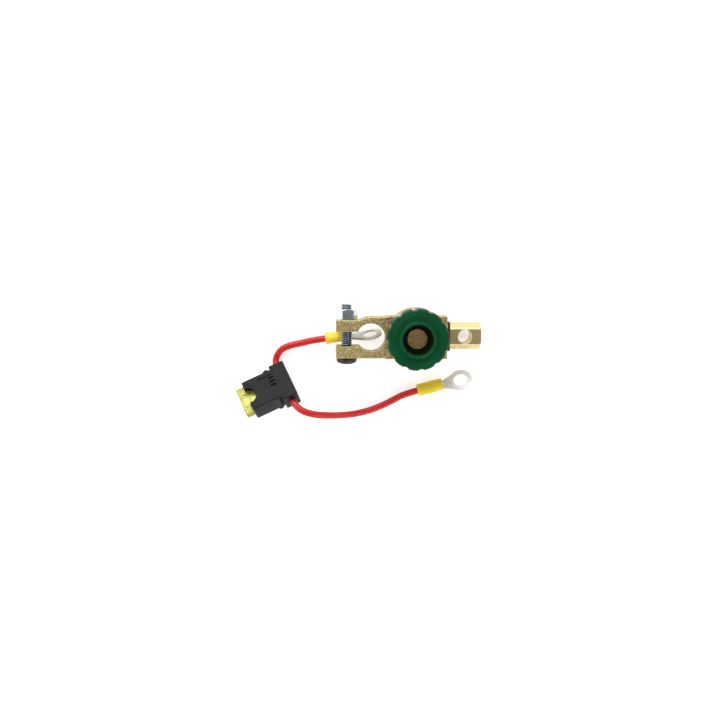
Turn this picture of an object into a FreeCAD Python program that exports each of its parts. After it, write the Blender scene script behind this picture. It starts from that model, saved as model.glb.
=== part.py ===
import FreeCAD, Part
import math
import os

from FreeCAD import Placement, Rotation, Vector

# Anti-theft battery terminal: a post clamp and a stud that a screw knob joins or parts,
# with a fused lead that keeps a small current going while the knob is open.
# Millimetres. Sizes are laid out from the axis of the post bore, and each piece is then moved
# so that the origin is under the knob, on the surface the part rests on.
# +X points from the post to the stud and +Z points up, out of the knob.

# Post clamp
POST_R = 8.6
POST_LAND = 6.5
POST_TAPER = 1 / 18
CLAMP_BOTTOM = 7.5
CLAMP_HEIGHT = 14.0
RING_WALL = 3.7
JAW_LENGTH = 12.5
JAW_GAP_REAR = 3.6
JAW_GAP_FRONT = 5.5
JAW_REAR_T = 6.9
JAW_FRONT_T = 7.0
JAW_ROUND = 0.8
CAST_EDGE = 0.4

# Clamp bolt and nut
BOLT_R = 3.5
BOLT_FREE = 0.25
BOLT_NECK = 7.0
BOLT_NECK_L = 3.5
BOLT_HEAD_R = 6.3
BOLT_HEAD_H = 4.0
BOLT_END = 3.0
BOLT_TIP = 0.7
BOLT_IN = 0.2
NUT_FLATS = 12.0
NUT_H = 6.4
NUT_TURN = 10.0
NUT_CHAMFER = 0.7

# Switch body; shares are parts of its radius
KNOB_X = 27.45
BODY_R = 17.9
BODY_HALF = 13.0
BODY_START = 10.0
BODY_END_OUT = 0.6
BODY_RAMP = 1.6
DISC_IN = 0.5
DISC_H = 0.8
SCREW_SHARE = 0.335
SCREW_FREE = 0.06

# Insulation between the two castings
PLATE_IN = 1.0
INSULATOR_T = 2.0
INSULATOR_RIM = 0.5
LIP_T = 1.9
LIP_TOP = 16.6
LIP_HALF = 8.8
LIP_GAP = 0.3
WINDOW_SHARE = 0.391

# Stud casting
BASE_T = 7.5
STUD_R = 8.35
STUD_L = 19.2
STUD_FLAT = 9.2
STUD_HOLE_R = 4.3
STUD_HOLE_FROM_END = 9.8
STUD_ROUND = 0.9
PAD_IN_WINDOW = 1.4
PAD_H = 0.5

# Screws and bushes that hold the castings together
TIE_AT_SHARE = 0.648
TIE_SHARE = 0.112
TIE_THREAD_FREE = 0.03
TIE_DEPTH = 8.0
TIE_HEAD_OUT = 1.3
TIE_HEAD_H = 2.2
TIE_SLOT_W = 0.9
TIE_SLOT_D = 1.0
BUSH_BORE_FREE = 0.1
BUSH_WALL = 1.3
BUSH_FLANGE_OUT = 0.8
BUSH_FLANGE_T = 1.0
BUSH_FREE = 0.1
COUNTERBORE_D = 3.6

# Knob and its screw
SEAL_T = 1.2
SEAL_IN = 0.5
KNOB_R = 18.25
KNOB_H = 12.4
LOBES = 12
LOBE_PHASE = 21.5
NOTCH_R = 2.6
NOTCH_D = 1.05
NOTCH_ROUND = 0.6
SKIRT_UP = 0.7
KNOB_EDGE_R = 2.2
KNOB_EDGE_LOW = 0.8
EDGE_STEPS = 6
FACE_DISH = 0.7
DISH_W = 2.7
BEAD_IN_R = 9.2
BEAD_W = 2.0
BEAD_H = 0.9
BEAD_ROUND = 0.5
BEAD_LIP = 0.3
RECESS_D = 8.6
RECESS_FLOOR_R = 7.7
HUB_R = 10.4
SKIRT_T = 2.6
CROWN_T = 3.4
KNOB_RIBS = 6
KNOB_RIB_T = 1.6
SCREW_HEAD_OUT = 0.2
SCREW_HEAD_UP = 0.7
ANCHOR_OUT = 1.6
ANCHOR_H = 1.6
ANCHOR_UP = 0.9
SCREW_TIP_IN = 1.4
SCREW_TIP_H = 1.5

# Lead: cable, ring terminals and their sleeves
CABLE_R = 2.1
EYE_R = 4.4
EYE_OUTER_R = 7.3
EYE_T = 1.0
EYE_AT = 27.5
EYE_DROP = 1.2
TONGUE_W = 6.4
NECK_L = 1.0
SHOULDER_ANGLE = 55.0
BARREL_R = 2.5
SLEEVE_L = 16.0
SLEEVE_MOUTH_R = 3.75
SLEEVE_W = 8.0
SLEEVE_H = 6.4
SLEEVE_WAIST = 0.35
SLEEVE_CRIMP = 3.4
SLEEVE_STRIP = 4.2
LEAD_FREE = 0.05
FLOOR_GAP = 0.05

# Fuse holder: nose at -x, cross bar at +x, in its own axes
HOLDER_L = 28.5
HOLDER_SIDE = 0.7
BAR_OUT = 2.5
BAR_L = 9.5
HOLDER_T = 13.0
HOLDER_ROUND = 1.0
HOLDER_EDGE = 0.5
SEAM_Z = 2.2
SEAM_GROOVE = 0.35
NOTCH_FINGER_R = 5.2
NOTCH_FINGER_IN = 0.6
PILLAR_R = 2.3
PILLAR_OUT = 1.2
PANEL_L = 10.5
PANEL_W = 9.6
PANEL_D = 0.5
PANEL_X = 0.8
PANEL_Y = 2.4
MARK_W = 1.6
MARK_L = 3.4
MARK_PITCH = 2.6
MARK_COUNT = 3
MARK_D = 1.5
POCKET_FREE = 0.25

# Blade fuse and the two contacts that grip it
FUSE_W = 19.1
FUSE_T = 5.1
FUSE_HEAD = 12.4
FUSE_OUT = 5.0
FUSE_SHOULDER = 1.85
FUSE_WAIST = 4.2
FUSE_WINDOW_IN = 5.75
FUSE_WINDOW_END = 1.5
FUSE_WINDOW_D = 0.8
FUSE_ROUND = 0.6
BLADE_W = 5.2
BLADE_T = 0.65
BLADE_L = 11.0
BLADE_IN = 4.45
BLADE_TIP = 1.2
LINK_W = 1.4
LINK_RISE = 6.0
CONTACT_W = 6.6
CONTACT_H = 3.6
CONTACT_L = 11.6
CONTACT_WALL = 0.5
CONTACT_PLAY = 0.3
DIMPLE_FREE = 0.02
DIMPLE_AT = 4.6
CRIMP_R = 1.8
CRIMP_END = 3.6

# Where the lead lies on the surface
EYE_A_AT = Vector(-0.25, 0.8, 0)
EYE_A_YAW = 8.5
EYE_A_ROLL = -70.0
EYE_A_PITCH = 7.0
EYE_B_AT = Vector(56.6, -28.4, 0)
EYE_B_YAW = 16.0
EYE_B_ROLL = -45.0
EYE_B_PITCH = 4.7
HOLDER_AT = Vector(-61.5, -33.5, 0)
HOLDER_YAW = 24.0
HOLDER_PITCH = 10.0
HOLDER_ROLL = -36.0
HOLDER_SINK = 0.35
LEAD_A_OUT = 6.8
LEAD_A_VIA = [Vector(-59.0, -13.2, 2.5), Vector(-55.6, -8.9, 2.15),
              Vector(-50.0, -6.6, 2.2), Vector(-43.2, -5.3, 2.25)]
LEAD_A_IN = 8.5
LEAD_B_OUT = 7.0
LEAD_B_VIA = [Vector(-40.4, -44.8, 24.3), Vector(-32.2, -47.0, 22.9), Vector(-24.8, -48.3, 18.0),
              Vector(-18.3, -49.6, 11.4), Vector(-10.4, -50.1, 5.6), Vector(-1.0, -48.6, 2.7),
              Vector(7.2, -45.5, 2.2), Vector(14.4, -41.8, 2.4)]
LEAD_B_IN = 9.0
ARC_SHARE = 0.45

# Clearances used while cutting and picking edges
PAST = 1.0
SAME = 0.001

# Levels worked out from the sizes above
BODY_END = BODY_R + BODY_END_OUT
DISC_R = BODY_R - DISC_IN
PLATE_R = BODY_R - PLATE_IN
TIE_Y = BODY_R * TIE_AT_SHARE
TIE_R = BODY_R * TIE_SHARE
TIE_HEAD_R = TIE_R + TIE_HEAD_OUT
BUSH_R = TIE_R + BUSH_BORE_FREE + BUSH_WALL
BUSH_FLANGE_R = BUSH_R + BUSH_FLANGE_OUT
CONTACT_WINDOW_R = BODY_R * WINDOW_SHARE
PAD_R = CONTACT_WINDOW_R - PAD_IN_WINDOW
SCREW_R = BODY_R * SCREW_SHARE
SCREW_TIP_R = SCREW_R - SCREW_TIP_IN
SCREW_HEAD_R = SCREW_R + SCREW_HEAD_OUT
ANCHOR_R = SCREW_R + ANCHOR_OUT
BODY_BOTTOM = BASE_T + INSULATOR_T
CLAMP_TOP = CLAMP_BOTTOM + CLAMP_HEIGHT
BOLT_X = -(POST_R + JAW_LENGTH / 2 - BOLT_IN)
BOLT_Z = CLAMP_BOTTOM + CLAMP_HEIGHT / 2
JAW_END = -(POST_R + JAW_LENGTH)
JAW_REAR = JAW_GAP_REAR + JAW_REAR_T
JAW_FRONT = JAW_GAP_FRONT + JAW_FRONT_T
RING_R = POST_R + RING_WALL
DISC_TOP = CLAMP_TOP + DISC_H
PAD_TOP = BASE_T + PAD_H
KNOB_SEAT = DISC_TOP + SEAL_T
KNOB_TOP = KNOB_SEAT + KNOB_H
BODY_EDGE = KNOB_X + BODY_END
STUD_START = BODY_EDGE + LIP_GAP + LIP_T
STUD_END = STUD_START + STUD_L
STUD_FLAT_H = math.sqrt(STUD_R ** 2 - (STUD_FLAT / 2) ** 2)

HOLDER_W = FUSE_W + 2 * HOLDER_SIDE
BAR_W = HOLDER_W + 2 * BAR_OUT
BLADE_AT = FUSE_W / 2 - BLADE_IN
FUSE_WINDOW_W = FUSE_W - 2 * FUSE_WINDOW_IN

X_AXIS = Vector(1, 0, 0)
Y_AXIS = Vector(0, 1, 0)
Z_AXIS = Vector(0, 0, 1)
KNOB_CENTRE = Vector(KNOB_X, 0, 0)


def box(x0, x1, y0, y1, z0, z1):
    return Part.makeBox(x1 - x0, y1 - y0, z1 - z0, Vector(x0, y0, z0))


def disc(radius, z0, z1, centre=Vector(0, 0, 0)):
    return Part.makeCylinder(radius, z1 - z0, centre + Vector(0, 0, z0))


def prism(points, z0, z1):
    """A flat outline of points raised from z0 to z1."""
    wire = Part.makePolygon([Vector(x, y, z0) for x, y in points + points[:1]])
    return Part.Face(wire).extrude(Vector(0, 0, z1 - z0))


def turned(points, centre=Vector(0, 0, 0)):
    """A solid of revolution about +Z from (radius, height) points."""
    wire = Part.makePolygon([Vector(r, 0, z) for r, z in points + points[:1]])
    solid = Part.Face(wire).revolve(Vector(0, 0, 0), Z_AXIS, 360)
    return solid.translated(centre)


def edges_along(shape, axis, test=lambda middle: True):
    """Straight edges parallel to an axis whose middle passes a test."""
    found = []
    for edge in shape.Edges:
        if not isinstance(edge.Curve, Part.Line) or not test(edge.CenterOfMass):
            continue
        along = edge.tangentAt(edge.FirstParameter).dot(axis)
        if abs(abs(along) - 1) < SAME:
            found.append(edge)
    return found


def rim_edges(shape, height, shortest, slack):
    """Edges that lie at a height and are longer than a given length."""
    near = [e for e in shape.Edges if abs(e.CenterOfMass.z - height) < slack]
    return [e for e in near if e.Length > shortest]


def clamp_casting():
    """Split ring with two jaws, cast in one with the threaded body under the knob."""
    ring_side = BODY_START - BODY_RAMP
    outline = [
        (JAW_END, -JAW_FRONT),
        (ring_side, -JAW_FRONT),
        (BODY_START, -BODY_HALF),
        (KNOB_X + BODY_END, -BODY_HALF),
        (KNOB_X + BODY_END, BODY_HALF),
        (BODY_START, BODY_HALF),
        (ring_side, RING_R),
        (0, RING_R),
        (0, JAW_REAR),
        (JAW_END, JAW_REAR),
    ]
    body = prism(outline, CLAMP_BOTTOM, CLAMP_TOP)
    corners = edges_along(body, Z_AXIS, lambda p: p.x < -POST_R or p.x > KNOB_X)
    body = body.makeFillet(JAW_ROUND, corners).fuse(disc(RING_R, CLAMP_BOTTOM, CLAMP_TOP))
    body = body.fuse(disc(BODY_R, CLAMP_BOTTOM, CLAMP_TOP, KNOB_CENTRE)).removeSplitter()
    body = body.makeChamfer(CAST_EDGE, rim_edges(body, CLAMP_TOP, CAST_EDGE, CAST_EDGE / 2))
    machined = disc(DISC_R, CLAMP_TOP, DISC_TOP, KNOB_CENTRE)
    rim = rim_edges(machined, DISC_TOP, DISC_R, CAST_EDGE / 2)
    body = body.fuse(machined.makeChamfer(CAST_EDGE, rim))
    step = BODY_START - INSULATOR_RIM - LIP_GAP
    body = body.cut(box(step, STUD_END, -BODY_R * 2, BODY_R * 2, 0, BODY_BOTTOM))

    land = CLAMP_TOP - POST_LAND
    wide = POST_R + (land - CLAMP_BOTTOM) * POST_TAPER
    bore = [
        (0, CLAMP_BOTTOM),
        (wide, CLAMP_BOTTOM),
        (POST_R, land),
        (POST_R, CLAMP_TOP),
        (0, CLAMP_TOP),
    ]
    body = body.cut(turned(bore))
    slot_start = JAW_END - PAST
    slot = box(slot_start, -POST_R / 2, -JAW_GAP_FRONT, JAW_GAP_REAR, CLAMP_BOTTOM, CLAMP_TOP)
    body = body.cut(slot)

    hole = BOLT_R + BOLT_FREE
    bolt_from = Vector(BOLT_X, -JAW_FRONT, BOLT_Z)
    bolt_way = Part.makeCylinder(hole, JAW_REAR + JAW_FRONT, bolt_from, Y_AXIS)
    half = BOLT_NECK / 2 + BOLT_FREE
    neck = BOLT_NECK_L + BOLT_FREE
    seat = box(-half, half, 0, neck, -half, half).translated(bolt_from)
    body = body.cut(bolt_way).cut(seat)

    body = body.cut(disc(SCREW_R + SCREW_FREE, 0, DISC_TOP, KNOB_CENTRE))
    for side in (-1, 1):
        at = KNOB_CENTRE + Vector(0, side * TIE_Y, 0)
        body = body.cut(disc(TIE_R + TIE_THREAD_FREE, BODY_BOTTOM, BODY_BOTTOM + TIE_DEPTH, at))
    return body


def stud_casting():
    """Round base plate with the contact pad, and the cable stud that grows out of it."""
    base = disc(PLATE_R, 0, BASE_T, KNOB_CENTRE)
    neck = box(KNOB_X, STUD_START, -STUD_R, STUD_R, 0, BASE_T)
    stud = Part.makeCylinder(STUD_R, STUD_L, Vector(STUD_START, 0, STUD_R), X_AXIS)
    end = [e for e in stud.Edges if abs(e.CenterOfMass.x - STUD_END) < STUD_ROUND]
    stud = stud.makeFillet(STUD_ROUND, [e for e in end if e.Length > STUD_R])
    high = STUD_R + STUD_FLAT_H
    low = STUD_R - STUD_FLAT_H
    stud = stud.common(box(STUD_START, STUD_END, -STUD_R, STUD_R, low, high))
    body = base.fuse(neck).fuse(stud)
    body = body.fuse(disc(PAD_R, BASE_T, PAD_TOP, KNOB_CENTRE))
    hole_at = Vector(STUD_END - STUD_HOLE_FROM_END, 0, 0)
    body = body.cut(disc(STUD_HOLE_R, 0, 2 * STUD_R, hole_at))
    for side in (-1, 1):
        at = KNOB_CENTRE + Vector(0, side * TIE_Y, 0)
        body = body.cut(disc(BUSH_FLANGE_R + BUSH_FREE, 0, COUNTERBORE_D, at))
        body = body.cut(disc(BUSH_R + BUSH_FREE, 0, BASE_T, at))
    return body.removeSplitter()


def insulator_plate():
    """Flat insulator with a window for the contact, turned up between body and stud."""
    radius = PLATE_R + INSULATOR_RIM
    plate = disc(radius, BASE_T, BODY_BOTTOM, KNOB_CENTRE)
    lip_x = STUD_START - LIP_T
    plate = plate.fuse(box(KNOB_X, STUD_START, -LIP_HALF, LIP_HALF, BASE_T, BODY_BOTTOM))
    plate = plate.fuse(box(lip_x, STUD_START, -LIP_HALF, LIP_HALF, BASE_T, LIP_TOP))
    plate = plate.cut(disc(CONTACT_WINDOW_R, BASE_T, BODY_BOTTOM, KNOB_CENTRE))
    for side in (-1, 1):
        at = KNOB_CENTRE + Vector(0, side * TIE_Y, 0)
        plate = plate.cut(disc(BUSH_R + BUSH_FREE, BASE_T, BODY_BOTTOM, at))
    corners = edges_along(plate, X_AXIS, lambda p: p.z > LIP_TOP - LIP_T)
    return plate.makeFillet(LIP_T / 2, corners)


def bush(side):
    """Top-hat bush that keeps a tie screw clear of the stud casting."""
    at = KNOB_CENTRE + Vector(0, side * TIE_Y, 0)
    seat = COUNTERBORE_D
    body = disc(BUSH_FLANGE_R, seat - BUSH_FLANGE_T, seat, at)
    body = body.fuse(disc(BUSH_R, seat, BODY_BOTTOM, at))
    return body.cut(disc(TIE_R + BUSH_BORE_FREE, 0, BODY_BOTTOM, at))


def tie_screw(side):
    at = KNOB_CENTRE + Vector(0, side * TIE_Y, 0)
    under = COUNTERBORE_D - BUSH_FLANGE_T
    head = disc(TIE_HEAD_R, under - TIE_HEAD_H, under, at)
    slot = box(-TIE_HEAD_R, TIE_HEAD_R, -TIE_SLOT_W / 2, TIE_SLOT_W / 2, 0, TIE_SLOT_D)
    slot.translate(at + Vector(0, 0, under - TIE_HEAD_H))
    return head.cut(slot).fuse(disc(TIE_R, under, BODY_BOTTOM + TIE_DEPTH - TIE_R, at))


def clamp_bolt():
    """Cup head, square neck that stops it turning, and a plain shank for the thread."""
    length = JAW_FRONT + JAW_REAR + NUT_H + BOLT_END
    half = BOLT_NECK / 2
    shank = disc(BOLT_R, 0, length)
    shank = shank.makeChamfer(BOLT_TIP, rim_edges(shank, length, BOLT_R, BOLT_TIP))
    neck = box(-half, half, -half, half, 0, BOLT_NECK_L)
    dome_r = (BOLT_HEAD_R ** 2 + BOLT_HEAD_H ** 2) / (2 * BOLT_HEAD_H)
    dome = Part.makeSphere(dome_r, Vector(0, 0, dome_r - BOLT_HEAD_H))
    head = dome.common(disc(BOLT_HEAD_R, -BOLT_HEAD_H, 0))
    bolt = shank.fuse(neck).fuse(head)
    bolt.Placement = Placement(Vector(BOLT_X, -JAW_FRONT, BOLT_Z), Rotation(X_AXIS, -90))
    return bolt


def clamp_nut():
    across = NUT_FLATS / math.sqrt(3)
    angles = [math.radians(NUT_TURN + 60 * k) for k in range(6)]
    hexagon = prism([(across * math.cos(a), across * math.sin(a)) for a in angles], 0, NUT_H)
    flat = NUT_FLATS / 2
    cone = [
        (0, 0),
        (flat, 0),
        (across, NUT_CHAMFER),
        (across, NUT_H - NUT_CHAMFER),
        (flat, NUT_H),
        (0, NUT_H),
    ]
    nut = hexagon.common(turned(cone)).cut(disc(BOLT_R + SCREW_FREE, 0, NUT_H))
    nut.Placement = Placement(Vector(BOLT_X, JAW_REAR, BOLT_Z), Rotation(X_AXIS, -90))
    return nut


def contact_screw():
    """Brass screw moulded into the knob; its nose closes the switch on the pad."""
    anchor = KNOB_SEAT + ANCHOR_UP
    head_top = KNOB_TOP - RECESS_D + SCREW_HEAD_UP
    chamfer = SCREW_HEAD_UP / 2
    profile = [
        (0, PAD_TOP),
        (SCREW_TIP_R, PAD_TOP),
        (SCREW_R, PAD_TOP + SCREW_TIP_H),
        (SCREW_R, anchor),
        (ANCHOR_R, anchor),
        (ANCHOR_R, anchor + ANCHOR_H),
        (SCREW_HEAD_R, anchor + ANCHOR_H),
        (SCREW_HEAD_R, head_top - chamfer),
        (SCREW_HEAD_R - chamfer, head_top),
        (0, head_top),
    ]
    return turned(profile, KNOB_CENTRE)


def knob_seal():
    hole = SCREW_R + SEAL_IN
    seal = disc(HUB_R, DISC_TOP, KNOB_SEAT, KNOB_CENTRE)
    return seal.cut(disc(hole, DISC_TOP, KNOB_SEAT, KNOB_CENTRE))


def knob():
    """Lobed moulded knob: dished face, bead round the recess, hollow ribbed underside."""
    low = DISC_TOP + SKIRT_UP
    blank = disc(KNOB_R, low, KNOB_TOP)
    for k in range(LOBES):
        angle = math.radians(LOBE_PHASE + 360 / LOBES * (k + 0.5))
        reach = KNOB_R - NOTCH_D + NOTCH_R
        notch_at = Vector(math.cos(angle), math.sin(angle), 0) * reach
        blank = blank.cut(disc(NOTCH_R, low, KNOB_TOP, notch_at))
    blank = blank.makeFillet(NOTCH_ROUND, edges_along(blank, Z_AXIS, lambda p: p.Length > KNOB_R / 2))
    bead_out = BEAD_IN_R + BEAD_W
    face = KNOB_TOP - BEAD_H
    profile = [(0, low), (KNOB_R - KNOB_EDGE_LOW, low), (KNOB_R, low + KNOB_EDGE_LOW)]
    for k in range(EDGE_STEPS + 1):
        turn = math.radians(90 * k / EDGE_STEPS)
        r = KNOB_R - KNOB_EDGE_R * (1 - math.cos(turn))
        profile.append((r, face - KNOB_EDGE_R * (1 - math.sin(turn))))
    profile += [
        (bead_out + DISH_W, face - FACE_DISH),
        (bead_out, face - FACE_DISH),
        (bead_out - BEAD_ROUND, KNOB_TOP - BEAD_ROUND / 2),
        (bead_out - BEAD_W / 2, KNOB_TOP),
        (BEAD_IN_R, KNOB_TOP - BEAD_LIP),
        (RECESS_FLOOR_R, KNOB_TOP - RECESS_D),
        (0, KNOB_TOP - RECESS_D),
    ]
    body = blank.common(turned(profile))
    under = face - CROWN_T
    hollow = disc(KNOB_R - SKIRT_T - NOTCH_D, low, under).cut(disc(HUB_R, low, under))
    for k in range(KNOB_RIBS):
        rib = box(HUB_R / 2, KNOB_R, -KNOB_RIB_T / 2, KNOB_RIB_T / 2, low, under)
        rib.rotate(Vector(0, 0, 0), Z_AXIS, 360 / KNOB_RIBS * k)
        hollow = hollow.cut(rib)
    body = body.cut(hollow)
    body = body.cut(disc(HUB_R, low, KNOB_SEAT))
    return body.translated(KNOB_CENTRE).cut(contact_screw())


def terminal_pose(eye, yaw, pitch, roll):
    """The placement that puts the eye over a point and the low edge of the eye on the surface."""
    turn = Rotation(Z_AXIS, yaw).multiply(Rotation(Y_AXIS, -pitch)).multiply(Rotation(X_AXIS, roll))
    normal = turn.multVec(Z_AXIS)
    low = EYE_OUTER_R * math.sqrt(1 - normal.z ** 2) + EYE_T / 2 * abs(normal.z)
    centre = Vector(eye.x, eye.y, low + FLOOR_GAP)
    return Placement(centre - turn.multVec(Vector(EYE_AT, 0, -EYE_DROP)), turn)


def ring_terminal():
    """Flat eye and tongue with the crimp barrel, from one piece of tinned strip."""
    top = EYE_T / 2 - EYE_DROP
    low = -EYE_T / 2 - EYE_DROP
    eye_at = Vector(EYE_AT, 0, 0)
    start = SLEEVE_L - EYE_OUTER_R / 2
    shoulder = EYE_AT - EYE_OUTER_R * math.cos(math.radians(SHOULDER_ANGLE))
    wide = EYE_OUTER_R * math.sin(math.radians(SHOULDER_ANGLE))
    half = TONGUE_W / 2
    neck_end = SLEEVE_L + NECK_L
    outline = [(start, -half), (neck_end, -half), (shoulder, -wide),
               (shoulder, wide), (neck_end, half), (start, half)]
    tongue = prism(outline, low, top)
    plate = tongue.fuse(disc(EYE_OUTER_R, low, top, eye_at)).cut(disc(EYE_R, low, top, eye_at))
    barrel = Part.makeCylinder(BARREL_R, SLEEVE_L - SLEEVE_STRIP, Vector(SLEEVE_STRIP, 0, 0), X_AXIS)
    inside = Part.makeCylinder(BARREL_R, SLEEVE_L - start, Vector(start, 0, 0), X_AXIS)
    in_sleeve = box(start, SLEEVE_L - LEAD_FREE, -half, half, low, top).common(inside)
    outside = plate.cut(box(0, SLEEVE_L + LEAD_FREE, -half, half, low, top))
    neck = box(SLEEVE_L, neck_end, -BARREL_R, BARREL_R, low, top)
    return outside.fuse(neck).fuse(barrel).fuse(in_sleeve).removeSplitter()


def oval(x, width, height):
    curve = Part.Ellipse(Vector(x, width / 2, 0), Vector(x, 0, height / 2), Vector(x, 0, 0))
    return Part.Wire(curve.toShape())


def sleeve():
    """Yellow sleeve, round at the cable mouth and pressed oval by the crimp tool."""
    mouth = 2 * SLEEVE_MOUTH_R
    sections = [
        oval(0, mouth + SLEEVE_WAIST, mouth),
        oval(SLEEVE_CRIMP, SLEEVE_W, SLEEVE_H),
        oval(SLEEVE_L / 2, SLEEVE_W + SLEEVE_WAIST, SLEEVE_H - SLEEVE_WAIST),
        oval(SLEEVE_L - SLEEVE_CRIMP, SLEEVE_W, SLEEVE_H),
        oval(SLEEVE_L, SLEEVE_W - SLEEVE_WAIST, SLEEVE_H),
    ]
    body = Part.makeLoft(sections, True, False)
    cable_way = Part.makeCylinder(CABLE_R + LEAD_FREE, SLEEVE_STRIP, Vector(0, 0, 0), X_AXIS)
    strip_end = Vector(SLEEVE_STRIP, 0, 0)
    barrel = Part.makeCylinder(BARREL_R + LEAD_FREE, SLEEVE_L - SLEEVE_STRIP, strip_end, X_AXIS)
    return body.cut(cable_way).cut(barrel)


def cable(name, points):
    """Straight runs joined by tangent arcs, each as large as its two runs allow."""
    edges = []
    radii = []
    length = 0.0
    start = points[0]
    for before, corner, after in zip(points, points[1:], points[2:]):
        into = (corner - before).normalize()
        out = (after - corner).normalize()
        turn = into.getAngle(out)
        run = min((corner - before).Length, (after - corner).Length)
        cut = ARC_SHARE * run
        radius = cut / math.tan(turn / 2)
        first = corner - into * cut
        last = corner + out * cut
        middle = corner + (out - into).normalize() * (radius / math.cos(turn / 2) - radius)
        edges.append(Part.LineSegment(start, first).toShape())
        edges.append(Part.Arc(first, middle, last).toShape())
        length += (first - start).Length + radius * turn
        radii.append(round(radius, 1))
        start = last
    edges.append(Part.LineSegment(start, points[-1]).toShape())
    length += (points[-1] - start).Length
    path = Part.Wire(edges)
    ring = Part.Wire(Part.makeCircle(CABLE_R, points[0], points[1] - points[0]))
    tube = path.makePipeShell([ring], True, False)
    exact = math.pi * CABLE_R ** 2 * length
    print(name, "length", round(length, 1), "radii", radii, "volume ratio", round(tube.Volume / exact, 4))
    return tube


def holder_block(z0, z1, inset=0.0):
    """The T-shaped outline of the fuse holder between two levels, drawn in by an inset."""
    nose = -HOLDER_L / 2 + inset
    tail = HOLDER_L / 2 - inset
    bar = HOLDER_L / 2 - BAR_L + inset
    half = HOLDER_W / 2 - inset
    wide = BAR_W / 2 - inset
    outline = [(nose, -half), (bar, -half), (bar, -wide), (tail, -wide),
               (tail, wide), (bar, wide), (bar, half), (nose, half)]
    block = prism(outline, z0, z1)
    outer = edges_along(block, Z_AXIS, lambda p: abs(p.x - bar) > PAST or abs(p.y) > half + PAST)
    return block.makeFillet(HOLDER_ROUND, outer)


def holder_pillars(z0, z1):
    bar = HOLDER_L / 2 - BAR_L
    reach = HOLDER_W / 2 + PILLAR_OUT - PILLAR_R
    at = [Vector(bar - PILLAR_R - HOLDER_EDGE, side * reach, 0) for side in (-1, 1)]
    return [disc(PILLAR_R, z0, z1, centre) for centre in at]


def holder_hollow():
    """Pocket for the fuse, slots for the contacts and the two ways for the cable."""
    nose = -HOLDER_L / 2
    head_end = nose - FUSE_OUT + FUSE_HEAD
    half = FUSE_W / 2 + POCKET_FREE
    high = FUSE_T / 2 + POCKET_FREE
    space = box(nose - PAST, head_end + POCKET_FREE, -half, half, -high, high)
    bar_x = HOLDER_L / 2 - BAR_L / 2
    for side in (-1, 1):
        wide = CONTACT_W / 2 + POCKET_FREE
        tall = CONTACT_H / 2 + POCKET_FREE
        slot = box(head_end, bar_x + CRIMP_R + POCKET_FREE, -wide, wide, -tall, tall)
        space = space.fuse(slot.translated(Vector(0, side * BLADE_AT, 0)))
        start = Vector(bar_x, side * BLADE_AT, 0)
        way = Part.makeCylinder(CABLE_R + LEAD_FREE, BAR_W / 2 - BLADE_AT, start, Y_AXIS * side)
        space = space.fuse(way)
    return space


def finger_notch(z0, z1):
    centre = Vector(-HOLDER_L / 2 + NOTCH_FINGER_IN, 0, 0)
    return disc(NOTCH_FINGER_R, z0, z1, centre)


def holder_top():
    top = HOLDER_T / 2
    low = SEAM_Z
    shell = holder_block(low, top)
    rim = [e for e in shell.Edges if abs(e.CenterOfMass.z - top) < HOLDER_EDGE / 2]
    shell = shell.makeFillet(HOLDER_EDGE, rim)
    for pillar in holder_pillars(low, top - HOLDER_EDGE):
        shell = shell.fuse(pillar)
    shell = shell.cut(finger_notch(low, top))
    panel_x = PANEL_X - PANEL_L / 2
    panel_y = PANEL_Y - PANEL_W / 2
    panel = box(panel_x, panel_x + PANEL_L, panel_y, panel_y + PANEL_W, top - PANEL_D, top)
    shell = shell.cut(panel.makeFillet(HOLDER_ROUND, edges_along(panel, Z_AXIS)))
    for k in range(MARK_COUNT):
        y = PANEL_Y + (k - (MARK_COUNT - 1) / 2) * MARK_PITCH
        x = panel_x + PANEL_L - MARK_L - HOLDER_ROUND
        shell = shell.cut(box(x, x + MARK_L, y - MARK_W / 2, y + MARK_W / 2, top - MARK_D, top))
    return shell.cut(holder_hollow()).removeSplitter()


def holder_bottom():
    low = -HOLDER_T / 2
    shell = holder_block(low, SEAM_Z)
    rim = [e for e in shell.Edges if abs(e.CenterOfMass.z - low) < HOLDER_EDGE / 2]
    shell = shell.makeFillet(HOLDER_EDGE, rim)
    for pillar in holder_pillars(low + HOLDER_EDGE, SEAM_Z):
        shell = shell.fuse(pillar)
    shell = shell.cut(finger_notch(low, SEAM_Z))
    groove = holder_block(SEAM_Z - SEAM_GROOVE, SEAM_Z)
    shell = shell.cut(groove.cut(holder_block(SEAM_Z - SEAM_GROOVE, SEAM_Z, SEAM_GROOVE)))
    return shell.cut(holder_hollow()).removeSplitter()


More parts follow.
